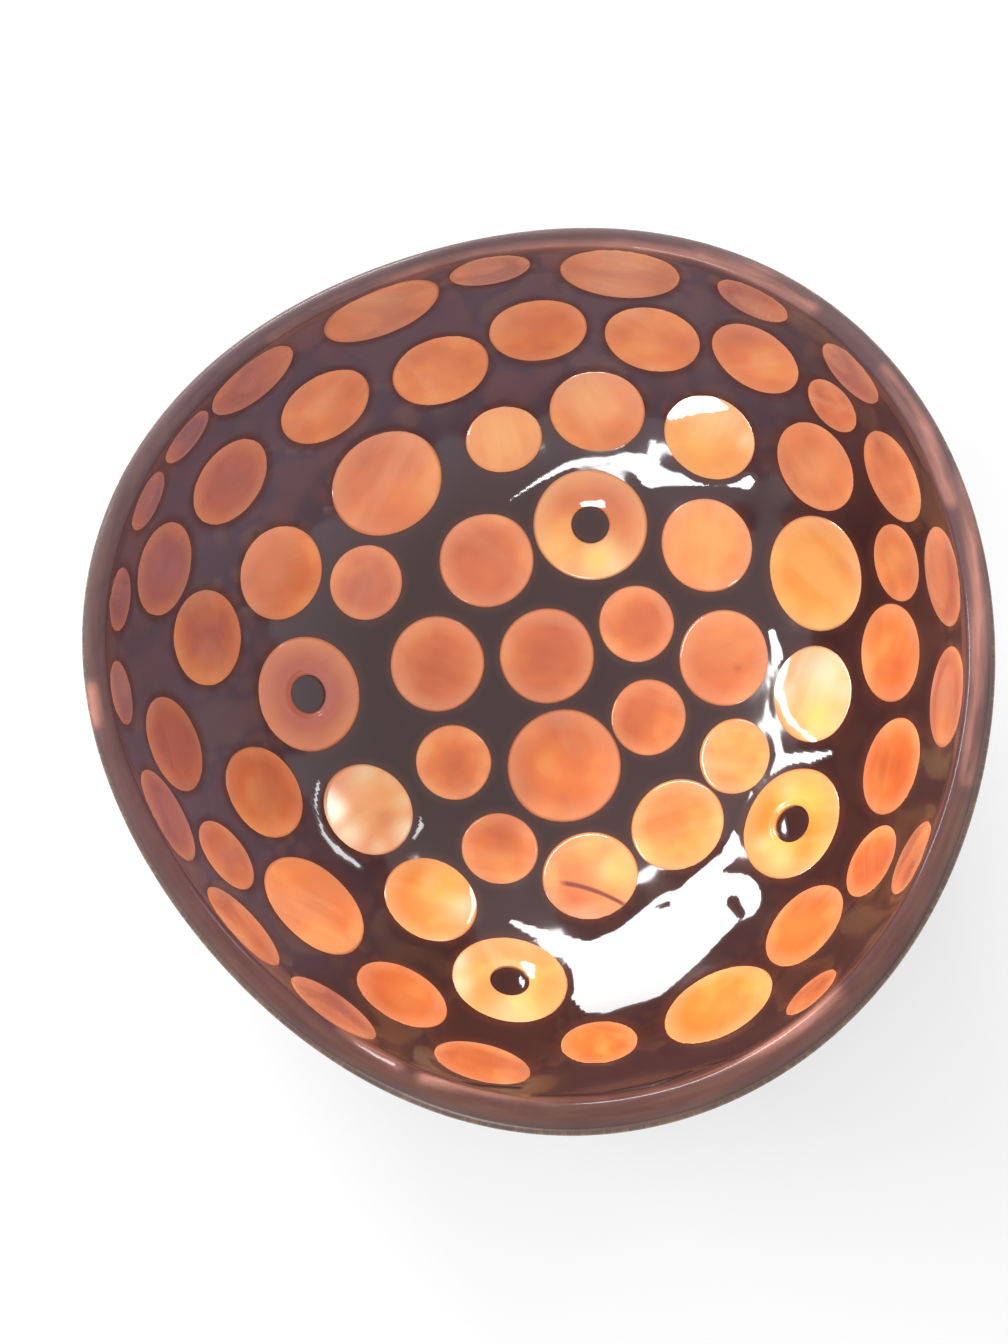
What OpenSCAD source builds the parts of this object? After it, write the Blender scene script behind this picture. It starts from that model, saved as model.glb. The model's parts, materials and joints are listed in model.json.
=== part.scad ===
// Coconut shell bowl, lined with dark lacquer and inlaid with round discs of dyed sea shell.
// The bowl is open upwards (+Z). The origin is the centre of the flat sanded on its bottom.
// The nut is a full, rounded form drawn out to three lobes: "up" is the angle from straight
// down to a place on it, seen from its heart, and "az" is the angle round the upright axis.

/* [Shell] */
// Mean width of the nut at its girth
nut_d = 132; // [120:1:170]
// Depth of the nut from its girth down to its tip
nut_depth = 61; // [52:1:80]
// How far below the girth the nut is cut across
cut_drop = 5; // [2:0.5:6.5]
// How much is sanded off the tip to make the flat that the bowl stands on
sanded = 1.6; // [1:0.1:2.4]
// Mean thickness of the shell at the rim
rim_wall = 2.6; // [2.4:0.1:3]
// Thickness of the shell at the tip, before the flat is sanded
base_wall = 4.6; // [4:0.1:6]
// How far the rim is thicker than its mean on the thick side, and thinner on the other
wall_swing = 1; // [0:0.1:1.2]

/* [Lining] */
// Thickness of the lacquer that the discs are set in
lacquer_t = 1.2; // [1.1:0.1:1.6]

/* [Discs] */
// Width of a large disc and of a ring disc. A narrow or shallow nut has all its discs cut
// smaller, in proportion
large_d = 18; // [14:0.5:18.5]
// Width of a medium disc
medium_d = 15; // [11:0.5:15.5]
// Width of a small disc
small_d = 12; // [8:0.5:12.5]
// Width of a tiny disc
tiny_d = 10; // [6:0.5:10.5]
// Width of the hole in a ring disc
ring_hole_d = 6.5; // [3:0.5:10]
// Thickness of every disc
disc_t = 1; // [0.8:0.1:1]
// How far the edge of a disc stands out of the lacquer
disc_proud = 0.2; // [0.1:0.1:0.4]
// Width of the bevel round the face of a disc
disc_bevel = 0.15; // [0.05:0.05:0.2]
// Least breadth of bare lacquer between a disc and the rounding of the rim
bare_rim = 0.5; // [0.3:0.1:1.2]

/* [Hidden] */
// Fullness of the nut from the side: 2 is a plain ellipse, and more is squarer
fullness = 2.2;
// The three lobes of the nut, its slight oval and its four faint corners, as shares of its
// radius at the rim
lobe_share = 0.029;
lobe_az = 46;
oval_share = 0.0065;
oval_az = 148;
corner_share = 0.005;
corner_az = 68;
// Where the wall of the shell is thickest
thick_az = 290;

// The view that the places of the discs were read from: the width and depth of the nut in it,
// the pixel of the middle of its rim, the mean radius of the rim in pixels, the lean of the
// view from upright, and the distance of the eye from the rim, as a share of the rim's radius
seen_d = 132;
seen_depth = 61;
photo_middle = [549, 670];
photo_rim = 455;
eye_lean = 3;
eye_share = 6.5;
// Rounds in which the place that a pixel shows is found
seen_rounds = 12;

// Places of the discs in that view, each the pixel of its middle, across and down
large_pixels = [
    [620, 272], [382, 311], [388, 484], [815, 574], [564, 765], [315, 905], [718, 1004]
];
ring_pixels = [[590, 526], [310, 694], [791, 823], [510, 979]];
medium_pixels = [
    [538, 331], [652, 340], [755, 359], [250, 369], [441, 371], [326, 407], [597, 412],
    [709, 438], [815, 467], [892, 477], [231, 482], [706, 546], [487, 561], [165, 569],
    [282, 573], [942, 577], [208, 638], [890, 653], [547, 656], [723, 658], [438, 664],
    [812, 694], [946, 697], [175, 744], [891, 766], [265, 792], [369, 809], [165, 816],
    [677, 824], [590, 875], [431, 899], [804, 925], [242, 927], [402, 994], [334, 1007],
    [482, 1062]
];
small_pixels = [[367, 583], [636, 624], [648, 717], [734, 756], [454, 762], [500, 848]];
small_wall_pixels = [
    [490, 270], [748, 301], [853, 363], [504, 440], [896, 563], [227, 855], [912, 858],
    [871, 861], [599, 1042]
];
tiny_pixels = [[832, 406], [191, 432], [151, 495], [118, 592], [130, 686], [811, 992]];

// Fineness of the shell and the lining: strips round the axis, bands up the side, and bands
// over half of the rim's rounding
strips = 64;
bands = 13;
lip_bands = 3;
$fn = 64;

// The heart of the nut, level with its girth, and the outer edge of the rim
heart_z = nut_depth - sanded;
edge_h = heart_z - cut_drop;
rim_r = nut_d / 2 * pow(1 - pow(cut_drop / nut_depth, fullness), 1 / fullness);
rim_up = atan2(rim_r, cut_drop);
seen_rim_r = seen_d / 2 * pow(1 - pow(cut_drop / seen_depth, fullness), 1 / fullness);

// Widths of the discs as cut for this nut
cut_share = min(1, nut_d / seen_d, nut_depth / seen_depth);
large_w = large_d * cut_share;
medium_w = medium_d * cut_share;
small_w = small_d * cut_share;
tiny_w = tiny_d * cut_share;
ring_hole_w = ring_hole_d * cut_share;

// A cut is made this much deeper than it needs, so that it leaves no skin
overrun = disc_t;

function numbered(name, i) = str(name, i < 9 ? "_0" : "_", i + 1);
function names(name, places) = [for (i = [0 : len(places) - 1]) numbered(name, i)];

// Share by which the outline is drawn out, which fades towards the bottom
function plan(az, up) =
    1 + pow(sin(up), 2) * (
        lobe_share * cos(3 * (az - lobe_az))
        + oval_share * cos(2 * (az - oval_az))
        + corner_share * cos(4 * (az - corner_az))
    );

// Radius of the outside, thickness of the shell, and radii of its inside and of the lining's
// open face, before the lobes
function outer_r(up, d = nut_d, depth = nut_depth) =
    pow(pow(2 * sin(up) / d, fullness) + pow(cos(up) / depth, fullness), -1 / fullness);
function wall(az, up) =
    base_wall
    + pow(sin(up), 2) * (rim_wall - base_wall + wall_swing * cos(az - thick_az));
function inner_r(az, up) = outer_r(up) - wall(az, up);
function lining_r(az, up) = inner_r(az, up) - lacquer_t;

// A place in the nut, from its two angles and a radius
function spot(az, up, r) =
    let (reach = r * sin(up) * plan(az, up))
    [reach * cos(az), reach * sin(az), heart_z - r * cos(up)];

// A place on the rounding of the rim, as [up, radius]: a turns from 0 on the outside over
// the crest at 90 to 180 on the inside of an oval of the given half width
function lip(az, half_w, a) =
    let (
        out = outer_r(rim_up) - wall(az, rim_up) / 2 + half_w * cos(a),
        along = rim_wall / 2 * sin(a)
    )
    [rim_up + atan2(along, out), norm([out, along])];

// The section of the shell at one azimuth, from the outside of the bottom over the rim to
// the inside of the bottom, without its two ends on the axis
function shell_section(az) =
    let (half_w = wall(az, rim_up) / 2)
    concat(
        [for (k = [1 : bands]) let (up = rim_up * k / bands) [up, outer_r(up)]],
        [for (k = [1 : 2 * lip_bands - 1]) lip(az, half_w, 90 * k / lip_bands)],
        [for (k = [bands : -1 : 1])
            let (up = rim_up * k / bands) [up, inner_r(az, up)]]
    );

// The section of the lining, which thins out over the rounding of the rim to its crest
function lining_section(az) =
    let (half_w = wall(az, rim_up) / 2)
    concat(
        [for (k = [1 : bands])
            let (up = rim_up * k / bands) [up, inner_r(az, up)]],
        [for (k = [2 * lip_bands - 1 : -1 : lip_bands]) lip(az, half_w, 90 * k / lip_bands)],
        [for (k = [lip_bands + 1 : 2 * lip_bands - 1])
            lip(az, half_w + lacquer_t, 90 * k / lip_bands)],
        [for (k = [bands : -1 : 1])
            let (up = rim_up * k / bands) [up, lining_r(az, up)]]
    );

// The closed solid that a section sweeps round the axis, with its ends at two radii
module nut_solid(sections, start_r, end_r) {
    n = len(sections);
    m = len(sections[0]);
    points = concat(
        [spot(0, 0, start_r), spot(0, 0, end_r)],
        [for (i = [0 : n - 1]) for (place = sections[i])
            spot(360 * i / n, place[0], place[1])]
    );
    faces = concat(
        [for (i = [0 : n - 1]) [0, 2 + i * m, 2 + (i + 1) % n * m]],
        [for (i = [0 : n - 1]) [1, 1 + ((i + 1) % n + 1) * m, 1 + (i + 1) * m]],
        [for (i = [0 : n - 1]) for (j = [0 : m - 2])
            [2 + i * m + j, 3 + i * m + j, 2 + (i + 1) % n * m + j]],
        [for (i = [0 : n - 1]) for (j = [0 : m - 2])
            [3 + i * m + j, 3 + (i + 1) % n * m + j, 2 + (i + 1) % n * m + j]]
    );
    polyhedron(points, faces);
}

// The eye, and the line from it to a pixel of the view, measured from the heart of the nut
mouth = [0, 0, -cut_drop];
eye = mouth + eye_share * seen_rim_r * [0, -sin(eye_lean), cos(eye_lean)];
function sight(pixel) =
    let (
        across = (pixel[0] - photo_middle[0]) * seen_rim_r / photo_rim,
        down = (pixel[1] - photo_middle[1]) * seen_rim_r / photo_rim
    )
    mouth + [across, -down * cos(eye_lean), -down * sin(eye_lean)] - eye;

// Where a line from the eye meets the far side of a ball of radius r whose outline is drawn
// out by a share, as [az, up]
function meet(line, r, share) =
    let (
        from = [eye[0] / share, eye[1] / share, eye[2]],
        along = [line[0] / share, line[1] / share, line[2]],
        b = from * along,
        c = from * from - r * r,
        t = (sqrt(max(0, b * b - along * along * c)) - b) / (along * along),
        place = from + t * along
    )
    [atan2(place[1], place[0]), atan2(norm([place[0], place[1]]), -place[2])];

// How far the face of a disc of width d stands off the lacquer behind its middle
function standing(d, depth = nut_depth) = d * d / (8 * (depth - base_wall)) + disc_proud;

// The place that a pixel shows, a little way off the lining, found in a few rounds
function seen(line, lift, found = [0, 45], rounds = seen_rounds) =
    rounds == 0 ? found : let (
        az = found[0],
        up = found[1],
        r = outer_r(up, seen_d, seen_depth) - wall(az, up) - lacquer_t - lift
    )
    seen(line, lift, meet(line, r, plan(az, up)), rounds - 1);

// The seat of a disc of width d: let down the wall where its edge would reach the rim
function seat(pixel, d) =
    let (
        found = seen(sight(pixel), standing(d, seen_depth)),
        highest = rim_up - asin((d / 2 + bare_rim) / lining_r(found[0], rim_up))
    )
    [found[0], min(found[1], highest)];

// Lays its children on the lining, with +Z square to it and into the bowl, and their origin
// in the middle of the face of a disc of width d
module on_lining(pixel, d) {
    place = seat(pixel, d);
    az = place[0];
    up = place[1];
    r = lining_r(az, up);
    rise = spot(az, up + 1, lining_r(az, up + 1)) - spot(az, up - 1, lining_r(az, up - 1));
    side = spot(az + 1, up, lining_r(az + 1, up)) - spot(az - 1, up, lining_r(az - 1, up));
    square = cross(rise, side) / norm(cross(rise, side));
    translate(spot(az, up, r) + square * standing(d))
        rotate([0, acos(square[2]), atan2(square[1], square[0])]) children();
}

// A flat disc with a bevelled face, and a hole where hole_d is not zero
module inlay(d, hole_d = 0) {
    r = d / 2;
    hole_r = hole_d / 2;
    inner_bevel = hole_d > 0 ? disc_bevel : 0;
    translate([0, 0, -disc_t]) rotate_extrude() polygon([
        [hole_r, 0],
        [r, 0],
        [r, disc_t - disc_bevel],
        [r - disc_bevel, disc_t],
        [hole_r + inner_bevel, disc_t],
        [hole_r, disc_t - inner_bevel]
    ]);
}

// The room that a disc takes out of the lacquer, open towards the bowl
module pocket(d, hole_d = 0) {
    translate([0, 0, -disc_t]) difference() {
        cylinder(h = disc_t + overrun, d = d);
        if (hole_d > 0)
            translate([0, 0, -overrun]) cylinder(h = disc_t + 3 * overrun, d = hole_d);
    }
}

module pockets(pixels, d, hole_d = 0) {
    for (pixel = pixels) on_lining(pixel, d) pocket(d, hole_d);
}

// Half of a coconut, cut across, with its rim rounded and its bottom sanded flat
module coconut_shell() {
    color("#5a3a28") difference() {
        nut_solid(
            [for (i = [0 : strips - 1]) shell_section(360 * i / strips)],
            outer_r(0), inner_r(0, 0)
        );
        translate([0, 0, -nut_depth]) cylinder(h = nut_depth, d = nut_d);
    }
}

module lacquer_lining() {
    color("#3c2a2e") difference() {
        nut_solid(
            [for (i = [0 : strips - 1]) lining_section(360 * i / strips)],
            inner_r(0, 0), lining_r(0, 0)
        );
        pockets(ring_pixels, large_w, ring_hole_w);
        pockets(large_pixels, large_w);
        pockets(medium_pixels, medium_w);
        pockets(small_pixels, small_w);
        pockets(small_wall_pixels, small_w);
        pockets(tiny_pixels, tiny_w);
    }
}

module ring_disc(pixel) {
    color("#f0a860") on_lining(pixel, large_w) inlay(large_w, ring_hole_w);
}

module large_disc(pixel) {
    color("#f08a5a") on_lining(pixel, large_w) inlay(large_w);
}

module medium_disc(pixel) {
    color("#f2955c") on_lining(pixel, medium_w) inlay(medium_w);
}

module small_disc(pixel) {
    color("#e8935c") on_lining(pixel, small_w) inlay(small_w);
}

module small_wall_discs() {
    for (pixel = small_wall_pixels) small_disc(pixel);
}

module tiny_rim_discs() {
    color("#d98a68") for (pixel = tiny_pixels) on_lining(pixel, tiny_w) inlay(tiny_w);
}

coconut_shell();
lacquer_lining();
for (i = [0 : len(ring_pixels) - 1])
    ring_disc(ring_pixels[i]);
for (i = [0 : len(large_pixels) - 1])
    large_disc(large_pixels[i]);
for (i = [0 : len(medium_pixels) - 1])
    medium_disc(medium_pixels[i]);
for (i = [0 : len(small_pixels) - 1])
    small_disc(small_pixels[i]);
small_wall_discs();
tiny_rim_discs();
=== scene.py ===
"""A bowl made from half a coconut, lined with dark lacquer and set with round discs of dyed
sea shell. Metres, +Z up; the bowl stands on the flat under it, at the origin."""

import json
import math
import random

import bmesh
import bpy
import numpy as np
from mathutils import Matrix, Vector


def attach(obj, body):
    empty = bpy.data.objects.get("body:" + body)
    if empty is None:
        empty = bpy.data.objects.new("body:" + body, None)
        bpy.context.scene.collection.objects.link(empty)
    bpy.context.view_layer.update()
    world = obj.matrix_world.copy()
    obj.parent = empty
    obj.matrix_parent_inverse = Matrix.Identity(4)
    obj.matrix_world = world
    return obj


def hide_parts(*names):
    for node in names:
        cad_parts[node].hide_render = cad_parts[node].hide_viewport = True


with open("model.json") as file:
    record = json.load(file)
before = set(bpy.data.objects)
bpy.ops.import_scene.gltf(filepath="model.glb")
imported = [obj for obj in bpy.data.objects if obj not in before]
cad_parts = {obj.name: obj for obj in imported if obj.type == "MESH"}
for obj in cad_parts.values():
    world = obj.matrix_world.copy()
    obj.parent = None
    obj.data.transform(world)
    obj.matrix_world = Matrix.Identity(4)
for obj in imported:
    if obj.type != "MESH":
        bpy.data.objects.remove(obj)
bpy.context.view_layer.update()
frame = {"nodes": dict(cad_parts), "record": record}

MM = 0.001

# The nut: its width and depth, the cut below its girth, the flat sanded under it
NUT_R = 66 * MM
NUT_DEPTH = 61 * MM
CUT_DROP = 5 * MM
SANDED = 1.6 * MM
FULLNESS = 2.2
LOBES, LOBE_AZ = 0.029, math.radians(46)
OVAL, OVAL_AZ = 0.0065, math.radians(148)
CORNERS, CORNER_AZ = 0.005, math.radians(68)

# Its wall, and the lacquer on the inside of it
RIM_WALL = 2.6 * MM
BASE_WALL = 4.6 * MM
WALL_SWING, THICK_AZ = 1 * MM, math.radians(290)
LACQUER = 1.2 * MM

# The finish stops this much short of the solid's own outline
SHY = 0.07 * MM

HEART = NUT_DEPTH - SANDED
EDGE_H = HEART - CUT_DROP
RIM_R = NUT_R * (1 - (CUT_DROP / NUT_DEPTH) ** FULLNESS) ** (1 / FULLNESS)
RIM_UP = math.atan2(RIM_R, CUT_DROP)

# The photograph looks down from a little in front of the bowl, which lies right of its middle
LEAN = math.radians(3)
EYE_AWAY = 6.5 * RIM_R
FRAME_W, FRAME_H = 1008, 1344
BOWL_MIDDLE = (549, 670)
BOWL_RADIUS = 455
LENS = BOWL_RADIUS * EYE_AWAY / RIM_R
BACK_TO_EYE = np.array([0, -math.sin(LEAN), math.cos(LEAN)])
EYE = np.array([0, 0, EDGE_H]) + EYE_AWAY * BACK_TO_EYE

# Soft lamps: azimuth and elevation seen from the bowl, width and height in metres, brightness
LAMPS = {
    "back_lamp": (110, 28, 0.44, 0.15, 26),
    "left_lamp": (166, 34, 0.30, 0.07, 28),
    "front_lamp": (255, 37, 0.18, 0.05, 34),
    "right_lamp": (45, 38, 0.07, 0.05, 18),
}
LAMPS_AWAY = 0.75

# A wide dim lamp overhead lights the bowl evenly and gives no glints
FILL_SIZE, FILL_HEIGHT, FILL_BRIGHTNESS = 2.0, 1.1, 1.0


def lamp_place(name):
    """Where the middle of a lamp hangs."""
    az, el = (math.radians(a) for a in LAMPS[name][:2])
    away = np.array([math.cos(az) * math.cos(el), math.sin(az) * math.cos(el), math.sin(el)])
    return np.array([0, 0, EDGE_H / 2]) + LAMPS_AWAY * away


# ---- The form of the nut ----


def outer_r(up):
    """The radius of the nut at an angle up from its bottom, round its heart."""
    share = (np.abs(np.sin(up)) / NUT_R) ** FULLNESS + (np.abs(np.cos(up)) / NUT_DEPTH) ** FULLNESS
    return share ** (-1 / FULLNESS)


def wall(az, up):
    """How thick the shell is, at a turn round the bowl and an angle up."""
    return BASE_WALL + np.sin(up) ** 2 * (
        RIM_WALL - BASE_WALL + WALL_SWING * np.cos(az - THICK_AZ)
    )


def plan(az, up):
    """How far the round form is drawn out to its lobes, slight oval and faint corners."""
    lobes = LOBES * np.cos(3 * (az - LOBE_AZ))
    oval = OVAL * np.cos(2 * (az - OVAL_AZ))
    corners = CORNERS * np.cos(4 * (az - CORNER_AZ))
    return 1 + np.sin(up) ** 2 * (lobes + oval + corners)


def spot(az, up, r):
    """The place at a turn round the bowl, an angle up and a radius of the round form."""
    reach = (r * np.sin(up) - SHY * np.sin(up) ** 2) * plan(az, up)
    return np.stack([reach * np.cos(az), reach * np.sin(az), HEART - r * np.cos(up)], -1)


def lining_spot(az, up):
    return spot(az, up, outer_r(up) - wall(az, up) - LACQUER)


def facing(az, up, step=0.004):
    """The direction square to the lining and into the bowl."""
    rise = lining_spot(az, up + step) - lining_spot(az, up - step)
    side = lining_spot(az + step, up) - lining_spot(az - step, up)
    square = np.cross(rise, side)
    return square / np.linalg.norm(square, axis=-1, keepdims=True)


def seen_at(co):
    """Where the camera sees each place, in the frame's pixels, x to the right and y down."""
    off = co - EYE
    away = -(off @ BACK_TO_EYE)
    up = np.array([0, math.cos(LEAN), math.sin(LEAN)])
    return np.stack(
        [
            BOWL_MIDDLE[0] + LENS * off[..., 0] / away,
            BOWL_MIDDLE[1] - LENS * (off @ up) / away,
        ],
        -1,
    )


OFF_STROKE = -1000.0


def inside_stroke(seen, stroke):
    """How far each seen place lies inside a brush stroke of (x, y, half width) places."""
    depth = np.full(seen.shape[:-1], OFF_STROKE)
    for (x0, y0, w0), (x1, y1, w1) in zip(stroke, stroke[1:]):
        run = np.array([x1 - x0, y1 - y0], float)
        along = np.clip(((seen - (x0, y0)) @ run) / (run @ run), 0, 1)
        off = np.linalg.norm(seen - (x0, y0) - along[..., None] * run, axis=-1)
        depth = np.maximum(depth, w0 + (w1 - w0) * along - off)
    return depth


def eased(value, low, high):
    """0 below low, 1 above high, and a soft step between them."""
    share = np.clip((value - low) / (high - low), 0, 1)
    return share * share * (3 - 2 * share)


# ---- Making and placing meshes ----


def deselect():
    bpy.ops.object.select_all(action="DESELECT")


def take(piece):
    deselect()
    piece.select_set(True)
    bpy.context.view_layer.objects.active = piece


def turned(name, section, steps, wedges=8):
    """Spins a drawn section, given as (radius, height) places, into one wedge of a round
    form, and the wedge on round the upright axis."""
    line = bpy.data.meshes.new(name)
    line.from_pydata(
        [(r, 0, z) for r, z in section], [(k, k + 1) for k in range(len(section) - 1)], []
    )
    piece = bpy.data.objects.new(name, line)
    bpy.context.scene.collection.objects.link(piece)
    take(piece)
    bpy.ops.object.mode_set(mode="EDIT")
    bpy.ops.mesh.select_all(action="SELECT")
    wedge = 2 * math.pi / wedges
    bpy.ops.mesh.spin(steps=steps // wedges, angle=wedge, center=(0, 0, 0), axis=(0, 0, 1))
    bpy.ops.mesh.select_all(action="SELECT")
    bpy.ops.mesh.spin(
        steps=wedges - 1,
        dupli=True,
        angle=wedge * (wedges - 1),
        center=(0, 0, 0),
        axis=(0, 0, 1),
    )
    bpy.ops.mesh.select_all(action="SELECT")
    bpy.ops.mesh.remove_doubles(threshold=0.0005 * MM)
    bpy.ops.mesh.normals_make_consistent(inside=False)
    bpy.ops.object.mode_set(mode="OBJECT")
    return piece


def places(piece):
    co = np.zeros(len(piece.data.vertices) * 3)
    piece.data.vertices.foreach_get("co", co)
    return co.reshape(-1, 3)


def move_to(piece, co):
    piece.data.vertices.foreach_set("co", np.asarray(co, np.float32).ravel())
    piece.data.update()


def paint(piece, name, values):
    """Keeps a number for each vertex, which the finish reads by its name."""
    layer = piece.data.attributes.new(name, "FLOAT", "POINT")
    layer.data.foreach_set("value", np.asarray(values, np.float32))


def smooth(piece):
    for face in piece.data.polygons:
        face.use_smooth = True


# Where the gloss has settled so flat that it mirrors a lamp: brush strokes of places in
# the frame and half widths, in pixels
MIRRORS = [
    ("back_lamp", [(512, 922, 2), (545, 938, 5), (600, 977, 37), (640, 962, 40), (680, 928, 38),
                   (722, 900, 28), (738, 897, 24)]),
    ("back_lamp", [(590, 1000, 14), (640, 985, 18)]),
    ("back_lamp", [(700, 890, 18), (706, 872, 7), (727, 858, 7), (742, 830, 6)]),
    ("left_lamp", [(742, 830, 6), (754, 800, 7), (770, 780, 12), (776, 755, 9), (770, 725, 7),
                   (770, 690, 4), (778, 658, 5), (772, 632, 3)]),
    ("left_lamp", [(772, 765, 9), (800, 760, 9), (830, 753, 4)]),
    ("front_lamp", [(510, 500, 2), (540, 480, 3), (568, 466, 4), (612, 456, 5), (640, 464, 9),
                    (652, 476, 12), (668, 478, 8), (695, 481, 5), (735, 483, 5), (747, 482, 9)]),
    ("front_lamp", [(653, 440, 2), (654, 462, 5)]),
    ("right_lamp", [(318, 782, 3), (318, 802, 6), (325, 831, 6), (339, 851, 5), (360, 867, 3)]),
    ("right_lamp", [(420, 812, 1), (421, 826, 4), (413, 838, 3)]),
    ("back_lamp", [(524, 964, 6), (526, 982, 7)]),
    ("left_lamp", [(779, 812, 6), (781, 832, 7)]),
    ("back_lamp", [(426, 1079, 0), (470, 1084, 1), (521, 1088, 0)]),
    ("back_lamp", [(534, 1096, 0), (600, 1095, 1), (654, 1085, 2), (692, 1071, 0)]),
    ("back_lamp", [(700, 1067, 0), (744, 1056, 1), (790, 1034, 0)]),
    ("back_lamp", [(350, 1040, 1), (374, 1055, 2), (396, 1066, 2)]),
]
MIRRORS_ON_DISCS = [
    ("front_lamp", [(672, 414, 8), (690, 406, 11), (712, 405, 9), (728, 408, 3)]),
    ("front_lamp", [(584, 504, 4), (602, 503, 5)]),
    ("left_lamp", [(788, 655, 4), (778, 690, 6), (790, 722, 5), (815, 742, 3)]),
    ("right_lamp", [(470, 885, 2), (474, 903, 5), (468, 922, 3)]),
    ("back_lamp", [(524, 962, 2), (531, 968, 5), (532, 976, 3)]),
]

# Dents in the gloss, which stay dark inside the mirroring patches
DIMPLES = [[(733, 902, 6), (741, 914, 4)], [(655, 908, 1), (668, 904, 3)]]
DIMPLE_SOFT = 2
STROKE_SOFT = 2

# The gloss is left where it lies further than this, as a cosine, from its mirroring slope
MIRROR_NEAR = 0.6


def gloss(piece, strokes, keep=1.0):
    """Turns the shading of the settled patches so that they mirror their lamps."""
    co = places(piece)
    normal = np.zeros(len(co) * 3)
    piece.data.vertex_normals.foreach_get("vector", normal)
    normal = normal.reshape(-1, 3)
    seen = seen_at(co)
    for dimple in DIMPLES:
        keep = keep * (1 - eased(inside_stroke(seen, dimple), -DIMPLE_SOFT, DIMPLE_SOFT))
    to_eye = EYE - co
    to_eye /= np.linalg.norm(to_eye, axis=1, keepdims=True)
    for lamp, stroke in strokes:
        to_lamp = lamp_place(lamp) - co
        to_lamp /= np.linalg.norm(to_lamp, axis=1, keepdims=True)
        mirror = to_eye + to_lamp
        mirror /= np.linalg.norm(mirror, axis=1, keepdims=True)
        near = (normal * mirror).sum(1) > MIRROR_NEAR
        share = eased(inside_stroke(seen, stroke), -STROKE_SOFT, STROKE_SOFT)
        share = (share * near * keep)[:, None]
        normal = normal * (1 - share) + mirror * share
        normal /= np.linalg.norm(normal, axis=1, keepdims=True)
    piece.data.normals_split_custom_set_from_vertices([tuple(n) for n in normal])


# ---- Seats of the discs, read from the solids ----


def solids_of(node):
    """The vertices of each separate solid of a node."""
    copy = bmesh.new()
    copy.from_mesh(frame["nodes"][node].data)
    bmesh.ops.remove_doubles(copy, verts=copy.verts, dist=0.001 * MM)
    left = set(copy.verts)
    solids = []
    for first in copy.verts:
        if first not in left:
            continue
        left.discard(first)
        solid, edge = [], [first]
        while edge:
            vertex = edge.pop()
            solid.append(vertex.co.copy())
            for link in vertex.link_edges:
                other = link.other_vert(vertex)
                if other in left:
                    left.discard(other)
                    edge.append(other)
        solids.append(np.array(solid))
    copy.free()
    return solids


SMALLEST_HOLE = 1 * MM


class Seat:
    """Where one disc lies: the middle of its face, the way it faces, and its radii."""

    def __init__(self, solid):
        middle = solid.mean(0)
        spread = np.linalg.svd(solid - middle, full_matrices=False)[2]
        facing_in = spread[2]
        if facing_in @ (np.array([0, 0, HEART]) - middle) < 0:
            facing_in = -facing_in
        height = (solid - middle) @ facing_in
        self.up = facing_in
        self.middle = middle + facing_in * height.max()
        off = solid - middle - height[:, None] * facing_in
        reach = np.linalg.norm(off, axis=1)
        self.r = reach.max()
        self.hole_r = reach.min() if SMALLEST_HOLE < reach.min() < self.r / 2 else 0

    def matrix(self, turn):
        """Lays a level disc in the seat, turned round its own middle."""
        z = Vector(self.up)
        x = Vector((0, 0, 1)).cross(z).normalized() if abs(z.z) < 0.999 else Vector((1, 0, 0))
        y = z.cross(x)
        basis = Matrix((x, y, z)).transposed().to_4x4()
        return Matrix.Translation(self.middle) @ basis @ Matrix.Rotation(turn, 4, "Z")

    def out_of_edge(self, co):
        """How far each place is outside the edge of the disc, along its plane."""
        off = co - self.middle
        off = off - (off @ self.up)[..., None] * self.up
        reach = np.linalg.norm(off, axis=-1)
        outside = reach - self.r
        if self.hole_r:
            outside = np.maximum(outside, self.hole_r - reach)
        near = np.linalg.norm(co - self.middle, axis=-1) < 3 * self.r
        return np.where(near, outside, 1.0)


DISC_NODES = [n for n in sorted(frame["nodes"]) if "disc" in n]
SLOTS = {row["node"]: row["material_slot"] for row in frame["record"]["subparts"]}
seats = {node: [Seat(solid) for solid in solids_of(node)] for node in DISC_NODES}
all_seats = [seat for node in DISC_NODES for seat in seats[node]]


# ---- How the lacquer has settled between the discs ----

# The discs stand out of the lacquer by their round edges, and between them its skin is drawn
# nearly flat. It is worked out on a square net laid over the bowl, one step of up to a cell.
NET = 301
NET_REACH = 1.53
SKIN_EDGE = 0.1 * MM
SKIN_TENSION = 0.85
SKIN_ROUNDS = 700
SKIN_R = 57 * MM
HELD_AT_RIM = 0.02


def net_places():
    """The turn round the bowl and the angle up of each node of the net."""
    line = np.linspace(-NET_REACH, NET_REACH, NET)
    x, y = np.meshgrid(line, line, indexing="ij")
    return np.arctan2(y, x), np.maximum(np.hypot(x, y), 1e-4)


def settled_skin():
    """How far the skin of the lacquer stands in from the plain form, over the net."""
    az, up = net_places()
    co = lining_spot(az, np.minimum(up, RIM_UP))
    outside = np.min([seat.out_of_edge(co) for seat in all_seats], axis=0)
    held = (outside < 0) | (up > RIM_UP - HELD_AT_RIM)
    level = np.where(outside < 0, SKIN_EDGE, 0.0)
    cell = 2 * NET_REACH / (NET - 1)
    draw = SKIN_TENSION * 2 * SKIN_R * cell**2 / 4
    skin = level.copy()
    for _ in range(SKIN_ROUNDS):
        around = (
            np.roll(skin, 1, 0) + np.roll(skin, -1, 0) + np.roll(skin, 1, 1) + np.roll(skin, -1, 1)
        )
        skin = np.where(held, level, around / 4 + draw)
    return skin


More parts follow.
